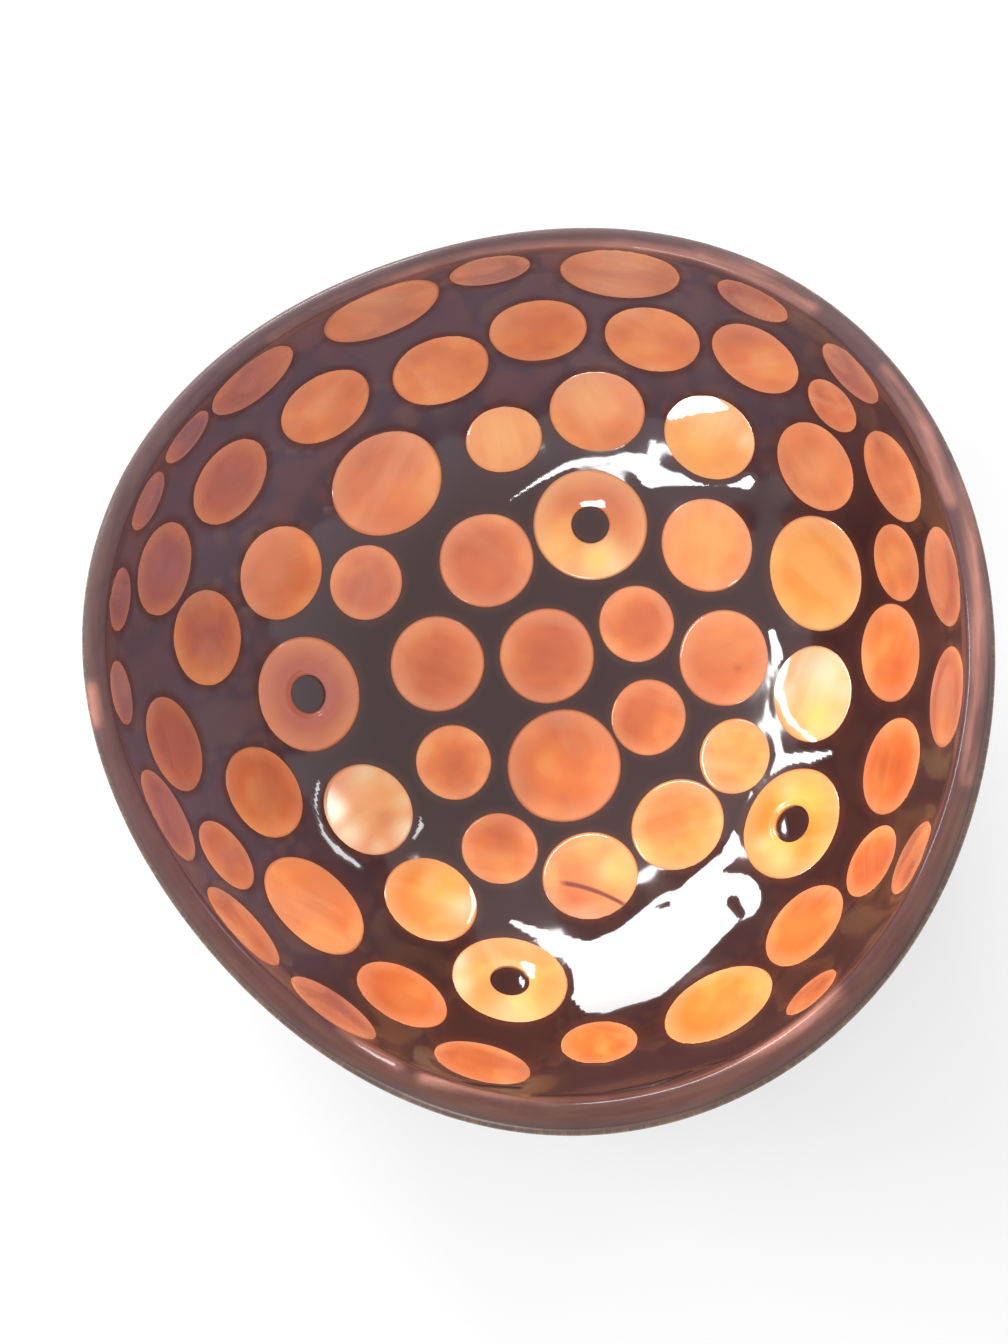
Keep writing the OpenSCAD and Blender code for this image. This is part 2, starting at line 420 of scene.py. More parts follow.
def read_net(net, az, up):
    """The value of the net at each place, between its four nearest nodes."""
    scale = (NET - 1) / (2 * NET_REACH)
    x = np.clip(up * np.cos(az) * scale + (NET - 1) / 2, 0, NET - 1.001)
    y = np.clip(up * np.sin(az) * scale + (NET - 1) / 2, 0, NET - 1.001)
    i, j = x.astype(int), y.astype(int)
    u, v = x - i, y - j
    low = net[i, j] * (1 - u) + net[i + 1, j] * u
    high = net[i, j + 1] * (1 - u) + net[i + 1, j + 1] * u
    return low * (1 - v) + high * v


# ---- The pieces ----

# How finely they are spun: rows up the section, and strips round
LIP_ROWS = 14
FACE_ROWS = 150
STRIPS = 520
SHELL_ROWS = 90
SHELL_STRIPS = 360
INSIDE_ROWS = 24
HIDDEN_ROWS = 16

# The lacquer runs out over the rim as a thin film, and ends past its crest
LIP_FILM = 0.08 * MM
FILM_ROWS = 2 * LIP_ROWS - 10
FILM_TUCK = [0.30, 0.4, 0.5, 0.75]


def lip(half_w, along, turn):
    """A place on the rounding of the rim of the round form, as (up, radius)."""
    out = outer_r(RIM_UP) - RIM_WALL / 2 + half_w * math.cos(turn)
    up = along * math.sin(turn)
    return RIM_UP + math.atan2(up, out), math.hypot(out, up)


def round_place(up, r):
    return float(r * math.sin(up)), float(HEART - r * math.cos(up))


def even_inner_r(up):
    """The radius of the inside of a shell that is as thick on every side."""
    return outer_r(up) - BASE_WALL - np.sin(up) ** 2 * (RIM_WALL - BASE_WALL)


def drawn_out(co):
    """Draws a round form out to the nut's lobes and to its thicker and thinner sides."""
    az = np.arctan2(co[:, 1], co[:, 0])
    reach = np.hypot(co[:, 0], co[:, 1])
    up = np.arctan2(reach, HEART - co[:, 2])
    r = np.hypot(reach, HEART - co[:, 2])
    depth = np.clip((outer_r(up) - r) / (outer_r(up) - even_inner_r(up)), 0, 1)
    r = r - depth * np.sin(up) ** 2 * WALL_SWING * np.cos(az - THICK_AZ)
    return az, up, r


def coconut_shell():
    """Half a nut with its rim rounded and its bottom sanded flat."""
    outside = [k * RIM_UP / SHELL_ROWS for k in range(SHELL_ROWS + 1)]
    section = [round_place(up, outer_r(up)) for up in outside]
    section += [
        round_place(*lip(RIM_WALL / 2, RIM_WALL / 2 - LIP_FILM, math.pi * k / LIP_ROWS))
        for k in range(1, LIP_ROWS)
    ]
    inside = [k * RIM_UP / INSIDE_ROWS for k in range(INSIDE_ROWS, -1, -1)]
    section += [round_place(up, even_inner_r(up)) for up in inside]
    section[0] = (0.0, section[0][1])
    section[-1] = (0.0, section[-1][1])
    piece = turned("coconut_shell_form", section, SHELL_STRIPS)
    az, up, r = drawn_out(places(piece))
    co = spot(az, up, r)
    paint(piece, "inside", (outer_r(up) - r) / wall(az, up))
    co[:, 2] = np.maximum(co[:, 2], 0)
    move_to(piece, co)
    paint_run(piece, az, up, r)
    smooth(piece)
    return piece


# How much the lacquer swells and thins round the rim, in waves: how many, and their start
UNEVEN = 0.14 * MM
UNEVEN_WAVES = [(3, 0.9), (5, 2.3), (8, 4.1), (13, 0.4), (21, 5.2)]
UNEVEN_SWING = 2.2

# Where the lacquer of the rim is rubbed thin and shows lighter, and a painted highlight is laid
# along
# the lip: strokes in the frame
WORN_AND_PAINTED_HIGHLIGHT = [
    [(425, 1077, 2), (500, 1089, 4), (545, 1092, 5), (604, 1089, 4)],
    [(610, 1087, 3), (655, 1077, 8), (690, 1069, 5)],
    [(700, 1067, 4), (760, 1042, 7), (800, 1020, 6), (838, 995, 3)],
    [(345, 1026, 3), (372, 1044, 5), (398, 1060, 4)],
    [(960, 470, 1), (972, 520, 3), (980, 600, 3), (977, 690, 2), (967, 780, 1)],
    [(884, 372, 1), (925, 430, 3), (950, 500, 3)],
    [(700, 256, 2), (760, 275, 4), (810, 305, 4)],
    [(90, 690, 3), (92, 720, 4)],
    [(771, 286, 0), (700, 258, 0), (624, 246, 0), (550, 247, 0), (476, 257, 0), (400, 278, 0),
     (337, 303, -1), (272, 340, -3)],
]
WORN_AND_HIGHLIGHT_SOFT = (-11, 5)


def uneven(az):
    """The hand-laid lacquer runs a little thicker and thinner round the rim."""
    run = sum(
        np.sin(count * az + start) / math.sqrt(count / UNEVEN_WAVES[0][0])
        for count, start in UNEVEN_WAVES
    )
    return -UNEVEN * (1 + run / UNEVEN_SWING)


def paint_run(piece, az, up, r):
    """Which way the fibres and the brush ran: round the nut, and from its bottom up."""
    run = piece.data.attributes.new("run", "FLOAT_VECTOR", "POINT")
    across = up + (r - outer_r(up)) / NUT_R
    places_run = np.stack([np.cos(az), np.sin(az), across], -1)
    run.data.foreach_set("vector", places_run.astype(np.float32).ravel())
    paint(piece, "lip", np.clip(1 - (outer_r(up) - r) / (wall(az, up) + LACQUER), 0, 1))
    # Rubbed places along the rim, which also carry a painted highlight.
    seen = seen_at(places(piece))
    worn_and_highlight = [eased(inside_stroke(seen, stroke), *WORN_AND_HIGHLIGHT_SOFT) for stroke in WORN_AND_PAINTED_HIGHLIGHT]
    paint(piece, "worn_and_highlight", np.max(worn_and_highlight, axis=0))


# The band below the rim over which the lacquer turns brown, and the walls that count as
# steep, as angles up; how far the discs tint the lacquer; where it is free of their edges
RIM_BAND = 0.05
STEEP = (0.45, 1.15)
TINT_REACH = 4 * MM
SETTLED = (0.5 * MM, 1.1 * MM)


def lacquer_lining(skin):
    """The lacquer: an open face drawn tight between the discs, over the rim to its crest."""
    face = [k * RIM_UP / FACE_ROWS for k in range(FACE_ROWS + 1)]
    section = [round_place(up, even_inner_r(up) - LACQUER) for up in face]
    section += [
        round_place(*lip(RIM_WALL / 2 + LACQUER * max(0, -math.cos(turn)), RIM_WALL / 2, turn))
        for turn in [math.pi * (1 - k / (2 * LIP_ROWS)) for k in range(1, FILM_ROWS + 1)]
    ]
    section += [
        round_place(*lip(RIM_WALL / 2, RIM_WALL / 2 - 2 * LIP_FILM, math.pi * share))
        for share in FILM_TUCK
    ]
    hidden = [k * RIM_UP / HIDDEN_ROWS for k in range(HIDDEN_ROWS, -1, -1)]
    section += [round_place(up, even_inner_r(up)) for up in hidden]
    section[0] = (0.0, section[0][1])
    section[-1] = (0.0, section[-1][1])
    piece = turned("lacquer_lining_form", section, STRIPS)
    az, up, r = drawn_out(places(piece))
    co = spot(az, up, r)
    is_face = (outer_r(up) - wall(az, up) - r > LACQUER * 0.7) & (up < RIM_UP + 0.001)
    stand = read_net(skin, az, up)
    co[is_face] += (facing(az, up) * stand[:, None])[is_face]
    on_rim = np.clip((up - RIM_UP + RIM_BAND) / RIM_BAND, 0, 1)
    co += np.stack([np.cos(az), np.sin(az), 0 * az], -1) * (uneven(az) * on_rim)[:, None]
    move_to(piece, co)
    outside = np.min([seat.out_of_edge(co) for seat in all_seats], axis=0)
    paint(piece, "past_disc", np.clip(outside / TINT_REACH, 0, 1))
    paint(piece, "on_rim", on_rim)
    paint(piece, "steep", eased(up, *STEEP))
    paint_run(piece, az, up, r)
    smooth(piece)
    gloss(piece, MIRRORS, keep=eased(outside, *SETTLED))
    return piece


# How far the round edge of a disc reaches in over its face, and down its side
EDGE_IN = 0.9 * MM
EDGE_DOWN = 0.28 * MM
UNDER = 0.2 * MM
DOME = 0.12 * MM
DISC_T = 1 * MM
DISC_STEPS = 96
FACE_RINGS = 9
EDGE_STEPS = 8


def disc_section(r, hole_r):
    """From the middle, or the hole, of the face over the round edge and under to the middle."""
    face_end = r + UNDER - EDGE_IN
    face_start = hole_r - UNDER + EDGE_IN if hole_r else 0
    section = []
    if hole_r:
        section += [(hole_r - UNDER, -DISC_T)]
        section += [
            (face_start - EDGE_IN * math.cos(turn), EDGE_DOWN * (math.sin(turn) - 1))
            for turn in [math.pi / 2 * k / EDGE_STEPS for k in range(EDGE_STEPS)]
        ]
    for k in range(FACE_RINGS + 1):
        at = face_start + (face_end - face_start) * k / FACE_RINGS
        section.append((at, DOME * (1 - (at / r) ** 2) - DOME * (1 - (face_end / r) ** 2)))
    section += [
        (face_end + EDGE_IN * math.sin(turn), EDGE_DOWN * (math.cos(turn) - 1))
        for turn in [math.pi / 2 * k / EDGE_STEPS for k in range(1, EDGE_STEPS + 1)]
    ]
    section += [(r + UNDER, -DISC_T)]
    section += [(hole_r - UNDER, -DISC_T)] if hole_r else [(0.0, -DISC_T)]
    return section


def shell_disc(name, r, hole_r):
    """One disc of sea shell, lying level with its face at the origin."""
    piece = turned(name, disc_section(r, hole_r), DISC_STEPS)
    flat = piece.data.uv_layers.new(name="Flat")
    co = places(piece)
    corner = np.zeros(len(piece.data.loops), int)
    piece.data.loops.foreach_get("vertex_index", corner)
    flat.data.foreach_set("uv", (co[corner, :2] / (r + UNDER)).astype(np.float32).ravel())
    smooth(piece)
    return piece


# Marks in the shell, by where they are seen: a place, how far they reach, how strong they are
GOLDEN = [
    (598, 560, 24, 1.0), (560, 548, 26, 0.9), (625, 868, 30, 0.9), (590, 850, 20, 0.6),
    (447, 888, 26, 0.9), (500, 862, 16, 0.5), (504, 440, 45, 1.0), (590, 398, 34, 0.7),
    (709, 432, 45, 0.8), (815, 574, 60, 0.45), (700, 548, 40, 0.6), (430, 490, 16, 0.7),
    (818, 715, 28, 1.0), (805, 800, 24, 0.8), (780, 850, 22, 0.9), (718, 1004, 34, 0.15),
    (734, 756, 34, 0.3), (525, 1000, 26, 0.6), (720, 640, 24, 0.5),
    (896, 560, 20, 0.5), (640, 345, 20, 0.3), (815, 467, 24, 0.3),
    (800, 925, 20, 0.3), (404, 994, 20, 0.2), (268, 790, 20, 0.3), (374, 804, 38, 0.9),
]
# Paler shell on some discs, and painted glare on the faces of discs that catch a lamp
PALE_AND_PAINTED_GLARE = [
    (812, 680, 38, 0.8), (790, 700, 20, 0.7), (362, 790, 30, 0.6), (348, 832, 22, 0.9),
    (395, 835, 14, 0.5), (455, 905, 16, 0.4),
    (431, 880, 10, 0.4), (510, 965, 40, 0.4), (585, 920, 16, 0.5), (612, 566, 10, 0.6),
    (709, 420, 26, 0.5), (440, 500, 9, 0.5), (780, 858, 12, 0.5),
    (382, 311, 40, 0.6), (620, 272, 50, 0.65), (652, 340, 34, 0.25), (441, 371, 34, 0.3),
    (326, 407, 34, 0.4), (597, 412, 30, 0.3), (815, 467, 34, 0.25), (892, 477, 34, 0.15),
    (538, 331, 30, 0.15), (282, 573, 30, 0.25), (755, 359, 34, 0.12), (504, 440, 26, 0.25),
    (315, 905, 44, 0.3), (388, 484, 44, 0.1), (245, 375, 26, 0.15), (369, 809, 40, 0.3),
]
# Darker dye on some discs, and painted shade on the discs of the shaded left wall
DEEP_AND_PAINTED_SHADE = [
    (737, 668, 8, 0.9), (612, 502, 34, 1.0), (570, 500, 22, 0.7), (800, 728, 7, 0.7),
    (384, 818, 12, 0.5),
    (572, 900, 14, 0.6), (500, 838, 20, 0.7), (547, 662, 46, 0.95), (438, 668, 46, 0.95),
    (310, 694, 56, 1.0), (487, 575, 40, 0.5), (367, 583, 34, 0.6), (231, 482, 50, 1.0),
    (250, 369, 46, 0.5), (165, 569, 50, 1.0), (208, 638, 40, 0.7), (175, 744, 46, 0.9),
    (165, 816, 46, 0.9), (227, 855, 30, 0.4), (334, 1007, 46, 0.8), (490, 270, 30, 0.1),
    (748, 301, 34, 0.4), (677, 828, 30, 0.2),
    (853, 363, 26, 0.4), (538, 331, 40, 0.4), (265, 800, 36, 0.5), (191, 432, 34, 1.0),
    (151, 495, 34, 1.0), (118, 592, 34, 1.0), (130, 686, 34, 0.55), (282, 573, 30, 0.3),
    (640, 715, 26, 0.5), (450, 762, 24, 0.3), (636, 624, 28, 0.7), (723, 658, 36, 0.6),
    (942, 577, 30, 0.5), (946, 697, 34, 1.0), (891, 766, 34, 0.9), (912, 858, 26, 1.0),
    (871, 861, 24, 0.4), (482, 1062, 30, 0.5), (402, 994, 34, 0.4), (599, 1042, 24, 0.2),
    (804, 925, 30, 0.35), (718, 1004, 40, 0.3),
]
# Painted shade: greyish rose laid on the discs of the shaded left wall and near the far rim
DUSKY_PAINTED_SHADE = [
    (191, 432, 40, 1.0), (151, 495, 40, 1.0), (118, 592, 44, 1.0), (130, 686, 44, 0.9),
    (165, 569, 56, 0.9), (231, 482, 56, 0.6), (250, 369, 50, 0.68), (175, 744, 50, 0.6),
    (165, 816, 50, 0.7), (490, 270, 44, 0.5), (748, 301, 44, 0.5), (853, 363, 44, 0.6),
    (208, 638, 44, 0.5), (382, 311, 50, 0.1), (310, 690, 56, 0.55), (590, 505, 34, 0.1),
    (367, 583, 34, 0.25), (334, 1007, 44, 0.3), (265, 792, 40, 0.3), (946, 560, 50, 0.2),
    (912, 858, 28, 0.2), (946, 697, 34, 0.1), (227, 855, 30, 0.3),
    (596, 498, 30, 0.15),
]
# Pearly mottling of the shell, partly painted glare where lamps shine on the discs
PEARL_AND_PAINTED_GLARE = [
    (336, 816, 15, 1.0), (348, 836, 14, 0.9), (410, 830, 14, 1.0), (405, 800, 12, 0.6),
    (366, 770, 16, 0.6), (392, 780, 12, 0.5), (378, 848, 10, 0.5),
    (822, 670, 26, 0.5), (816, 722, 18, 0.6),
    (840, 690, 14, 0.5), (785, 690, 12, 0.6), (728, 420, 12, 0.4), (745, 440, 10, 0.5),
    (602, 560, 18, 0.9), (456, 985, 14, 0.5), (510, 1012, 18, 0.4), (462, 905, 12, 0.6),
    (455, 960, 12, 0.6), (610, 868, 12, 0.3), (765, 845, 10, 0.4), (790, 790, 10, 0.3),
    (130, 686, 26, 0.12),
    (490, 270, 34, 0.12), (620, 272, 44, 0.06), (227, 855, 30, 0.07),
]
MARKS = {"golden": GOLDEN, "pale": PALE_AND_PAINTED_GLARE, "deep": DEEP_AND_PAINTED_SHADE, "painted_shade": DUSKY_PAINTED_SHADE, "pearl_and_glare": PEARL_AND_PAINTED_GLARE}


def marked(seen, marks):
    """How strongly each seen place bears one of these marks."""
    share = np.zeros(len(seen))
    for x, y, reach, strength in marks:
        off = np.linalg.norm(seen - (x, y), axis=1)
        share = np.maximum(share, strength * np.exp(-((off / reach) ** 2)))
    return share


OUT_OF_ROUND = 0.016
WOBBLES = (2, 3, 4, 5)
SEED = 7

# The disc with a crack, and the curve of the crack over its face: bend, slope and height
CRACKED_DISC = "medium_disc_30"
CRACK = (-0.25, -0.66, -0.34)


def set_discs():
    """Each width is made once, and a copy with its own mesh is laid in every seat."""
    chance = random.Random(SEED)
    made = {}
    pieces = {}
    for node in DISC_NODES:
        laid = []
        for seat in seats[node]:
            key = (round(seat.r / MM, 1), round(seat.hole_r / MM, 1))
            if key not in made:
                made[key] = shell_disc(f"disc_{len(made)}", seat.r, seat.hole_r)
            copy = made[key].copy()
            copy.data = made[key].data.copy()
            bpy.context.scene.collection.objects.link(copy)
            co = places(copy)
            turn = np.arctan2(co[:, 1], co[:, 0])
            reach = np.hypot(co[:, 0], co[:, 1]) / seat.r
            wobble = sum(
                chance.uniform(0.3, 1) * np.cos(count * turn + chance.uniform(0, 6.3)) / count
                for count in WOBBLES
            )
            co[:, :2] *= (1 + OUT_OF_ROUND * wobble * reach**3)[:, None]
            move_to(copy, co)
            paint(copy, "lot", np.full(len(co), chance.random()))
            is_cracked = node == CRACKED_DISC
            paint(copy, "cracked", np.full(len(co), float(is_cracked)))
            grain = chance.uniform(0, 2 * math.pi)
            copy.data.transform(seat.matrix(math.pi if is_cracked else grain))
            seen = seen_at(places(copy))
            for mark, marks in MARKS.items():
                paint(copy, mark, marked(seen, marks))
            laid.append(copy)
        take(laid[0])
        for copy in laid[1:]:
            copy.select_set(True)
        if len(laid) > 1:
            bpy.ops.object.join()
        laid[0].name = laid[0].data.name = f"{node}_shell"
        gloss(laid[0], MIRRORS_ON_DISCS)
        pieces[node] = laid[0]
    for template in made.values():
        bpy.data.objects.remove(template)
    return pieces


# ---- Finishes ----

# Colours of the lacquer: on the floor of the bowl, on the warm side of its wall, a painted grey
# sheen of reflected room light on its far-left side, a painted glow of the discs close to one, and
# in its sheen
LACQUER_DARK, LACQUER_LIGHT = (0.024, 0.005, 0.004), (0.040, 0.011, 0.010)
WALL_WARM, WALL_PAINTED_SHEEN = (0.040, 0.014, 0.013), (0.112, 0.086, 0.116)
PAINTED_DISC_GLOW = (0.085, 0.022, 0.013)
LACQUER_SHEEN = (0.60, 0.5, 0.66)

# Colours of the rim: its streaks, its inner side, a painted grey floor reflection on its outer
# side, a painted sheen on its far side, painted shade where it turns down, rubbed places with a
# painted highlight
RIM_DARK, RIM_LIGHT = (0.066, 0.023, 0.018), (0.120, 0.050, 0.034)
RIM_RED = (0.105, 0.038, 0.036)
RIM_INNER, RIM_PAINTED_REFLECTION = (0.080, 0.024, 0.026), (0.095, 0.076, 0.072)
RIM_PAINTED_SHEEN, RIM_PAINTED_SHADE = (0.115, 0.085, 0.100), (0.036, 0.028, 0.026)
RUBBED_AND_PAINTED_HIGHLIGHT = (0.46, 0.20, 0.15)

# Colours of the discs' marks (among them painted shade and painted glare), the painted sheen of
# room light on the far discs, edge, crack and sheen
PAINTED_SHADE_DUSK, PEARL_AND_GLARE_WHITE, LEMON = (0.36, 0.145, 0.15), (0.92, 0.84, 0.66), (0.86, 0.66, 0.15)
DISC_PAINTED_SHEEN, DISC_OUTLINE = (0.95, 0.96, 1.0), (0.30, 0.07, 0.03)
CRACK_DARK = (0.20, 0.035, 0.015)
DISC_SHEEN = (0.45, 0.5, 0.8)

# Colours of the nut: its broad bands, pale and dark fibres, and flecks
NUT_DARK, NUT_LIGHT = (0.075, 0.034, 0.018), (0.15, 0.07, 0.036)
FIBRE_PALE, FIBRE_DARK = (0.31, 0.17, 0.085), (0.028, 0.013, 0.008)
FLECK = (0.38, 0.22, 0.12)


def finish_named(name):
    material = bpy.data.materials.new(name)
    material.use_nodes = True
    tree = material.node_tree
    return material, tree, tree.nodes["Principled BSDF"]


def node(tree, kind, **inputs):
    made = tree.nodes.new(kind)
    for key, value in inputs.items():
        made.inputs[key.replace("_", " ")].default_value = value
    return made


def attribute(tree, name):
    made = tree.nodes.new("ShaderNodeAttribute")
    made.attribute_name = name
    return made


def mix(tree, factor, a, b):
    """A colour between a and b, each a colour or a socket."""
    made = tree.nodes.new("ShaderNodeMix")
    made.data_type = "RGBA"
    for socket, value in ((made.inputs[0], factor), (made.inputs[6], a), (made.inputs[7], b)):
        if hasattr(value, "links"):
            tree.links.new(value, socket)
        elif isinstance(value, tuple):
            socket.default_value = (*value, 1)
        else:
            socket.default_value = value
    return made.outputs[2]


def ramp(tree, value, low, high, to_low=0.0, to_high=1.0):
    made = tree.nodes.new("ShaderNodeMapRange")
    made.inputs["From Min"].default_value = low
    made.inputs["From Max"].default_value = high
    made.inputs["To Min"].default_value = to_low
    made.inputs["To Max"].default_value = to_high
    tree.links.new(value, made.inputs["Value"])
    return made.outputs["Result"]


def math_node(tree, operation, a, b=0.0):
    made = tree.nodes.new("ShaderNodeMath")
    made.operation = operation
    for socket, value in zip(made.inputs, (a, b)):
        if hasattr(value, "links"):
            tree.links.new(value, socket)
        else:
            socket.default_value = value
    return made.outputs[0]


def along_axes(tree, vector):
    """The X, Y and Z of a vector."""
    made = tree.nodes.new("ShaderNodeSeparateXYZ")
    tree.links.new(vector, made.inputs[0])
    return made.outputs


def stretched(tree, vector, scale):
    """The vector scaled by its own amount along each axis."""
    made = tree.nodes.new("ShaderNodeMapping")
    made.inputs["Scale"].default_value = scale
    tree.links.new(vector, made.inputs["Vector"])
    return made.outputs[0]


def noise(tree, vector, scale, detail=3.0, rough=0.5):
    made = node(tree, "ShaderNodeTexNoise", Scale=scale, Detail=detail, Roughness=rough)
    tree.links.new(vector, made.inputs["Vector"])
    return made.outputs["Fac"]


def bump(tree, height, strength, distance, under=None):
    made = node(tree, "ShaderNodeBump", Strength=strength, Distance=distance)
    tree.links.new(height, made.inputs["Height"])
    if under is not None:
        tree.links.new(under, made.inputs["Normal"])
    return made.outputs["Normal"]


def object_place(tree):
    return tree.nodes.new("ShaderNodeTexCoord").outputs["Object"]


def painted_far_sheen(tree, low, high, most):
    """How strongly a painted grey sheen of reflected room light is laid on, growing towards the
    far side of the bowl.
    """
    return ramp(tree, along_axes(tree, object_place(tree))["Y"], low, high, 0.0, most)


# The lacquer is rubbed less glossy up the walls and over the rim
WALL_POLISH = 0.5


def dark_lacquer():
    material, tree, skin = finish_named("dark_lacquer")
    place = object_place(tree)
    patchy = noise(tree, place, 45, 2.0)
    colour = mix(tree, patchy, LACQUER_DARK, LACQUER_LIGHT)
    steep = attribute(tree, "steep").outputs["Fac"]
    # Painted sheen: a grey veil of reflected room light laid on the far-left wall.
    axes = along_axes(tree, place)
    across = math_node(tree, "SUBTRACT", axes["Y"], axes["X"])
    painted_sheen_share = ramp(tree, across, -25 * MM, 40 * MM)
    wall_tint = mix(tree, painted_sheen_share, WALL_WARM, WALL_PAINTED_SHEEN)
    colour = mix(tree, steep, colour, wall_tint)
    # Painted glow of the discs' orange light in the lacquer beside each disc.
    away = attribute(tree, "past_disc").outputs["Fac"]
    colour = mix(tree, ramp(tree, away, 0.05, 0.35, 0.6, 0.0), colour, PAINTED_DISC_GLOW)
    rim = attribute(tree, "on_rim").outputs["Fac"]
    tree.links.new(mix(tree, rim, colour, brushed_rim(tree)), skin.inputs["Base Color"])
    skin.inputs["Roughness"].default_value = 0.4
    skin.inputs["Specular IOR Level"].default_value = 0.1
    polish = ramp(tree, steep, 0.72, 1.0, 1.0, WALL_POLISH)
    polish = math_node(tree, "SUBTRACT", polish, math_node(tree, "MULTIPLY", rim, 0.05))
    # The thin end of the film is dull
    lip = attribute(tree, "lip").outputs["Fac"]
    polish = math_node(tree, "MULTIPLY", polish, ramp(tree, lip, 0.68, 0.78, 1.0, 0.1))
    tree.links.new(polish, skin.inputs["Coat Weight"])
    skin.inputs["Coat Roughness"].default_value = 0.1
    skin.inputs["Sheen Weight"].default_value = 0.06
    skin.inputs["Sheen Roughness"].default_value = 0.5
    skin.inputs["Sheen Tint"].default_value = (*LACQUER_SHEEN, 1)
    nibs = noise(tree, place, 700, 2.0)
    hand_laid = noise(tree, attribute(tree, "run").outputs["Vector"], 11, 2.0)
    waves = math_node(tree, "MULTIPLY", hand_laid, rim)
    normal = bump(tree, nibs, 0.2, 0.05 * MM)
    tree.links.new(bump(tree, waves, 0.7, 0.9 * MM, normal), skin.inputs["Normal"])
    return material


def brushed_rim(tree):
    """The brown of the rim: soft long streaks round it, darker outside with painted shade and a
    painted grey floor reflection, a painted sheen on its far side, rubbed places with a painted
    highlight.
    """
    run = attribute(tree, "run").outputs["Vector"]
    streaks = noise(tree, stretched(tree, run, (2.6, 2.6, 22)), 1.5)
    wide = noise(tree, run, 2.0, 2.0)
    brown = mix(tree, ramp(tree, streaks, 0.35, 0.65), RIM_DARK, RIM_LIGHT)
    brown = mix(tree, ramp(tree, wide, 0.35, 0.7, 0.0, 0.6), brown, RIM_RED)
    lip = attribute(tree, "lip").outputs["Fac"]
    brown = mix(tree, ramp(tree, lip, 0.35, 0.1, 0.0, 0.5), brown, RIM_INNER)
    # Painted grey reflection of the pale floor over the outer side of the rim.
    brown = mix(tree, ramp(tree, lip, 0.5, 0.85, 0.0, 0.5), brown, RIM_PAINTED_REFLECTION)
    # Painted grey sheen of reflected room light, growing towards the far side.
    brown = mix(tree, painted_far_sheen(tree, -40 * MM, 30 * MM, 0.35), brown, RIM_PAINTED_SHEEN)
    # Painted shade where the rim turns down outside.
    brown = mix(tree, ramp(tree, lip, 0.8, 1.0, 0.0, 0.75), brown, RIM_PAINTED_SHADE)
    # Rubbed places, with a painted highlight laid over them along the lip.
    worn_and_highlight = attribute(tree, "worn_and_highlight").outputs["Fac"]
    patchy = math_node(tree, "MULTIPLY", worn_and_highlight, ramp(tree, streaks, 0.32, 0.62, 0.15, 0.85))
    return mix(tree, patchy, brown, RUBBED_AND_PAINTED_HIGHLIGHT)


def cracked(tree, uv):
    """A dark crack that curves over the lower part of the disc that has one."""
    u, v = along_axes(tree, uv)[:2]
    slope = math_node(tree, "ADD", math_node(tree, "MULTIPLY", u, CRACK[0]), CRACK[1])
    line = math_node(tree, "ADD", math_node(tree, "MULTIPLY", u, slope), CRACK[2])
    off = math_node(tree, "ABSOLUTE", math_node(tree, "SUBTRACT", v, line))
    dark = ramp(tree, off, 0.085, 0.03)
    run = ramp(tree, math_node(tree, "ABSOLUTE", u), 0.68, 0.5)
    here = attribute(tree, "cracked").outputs["Fac"]
    return math_node(tree, "MULTIPLY", math_node(tree, "MULTIPLY", dark, run), here)


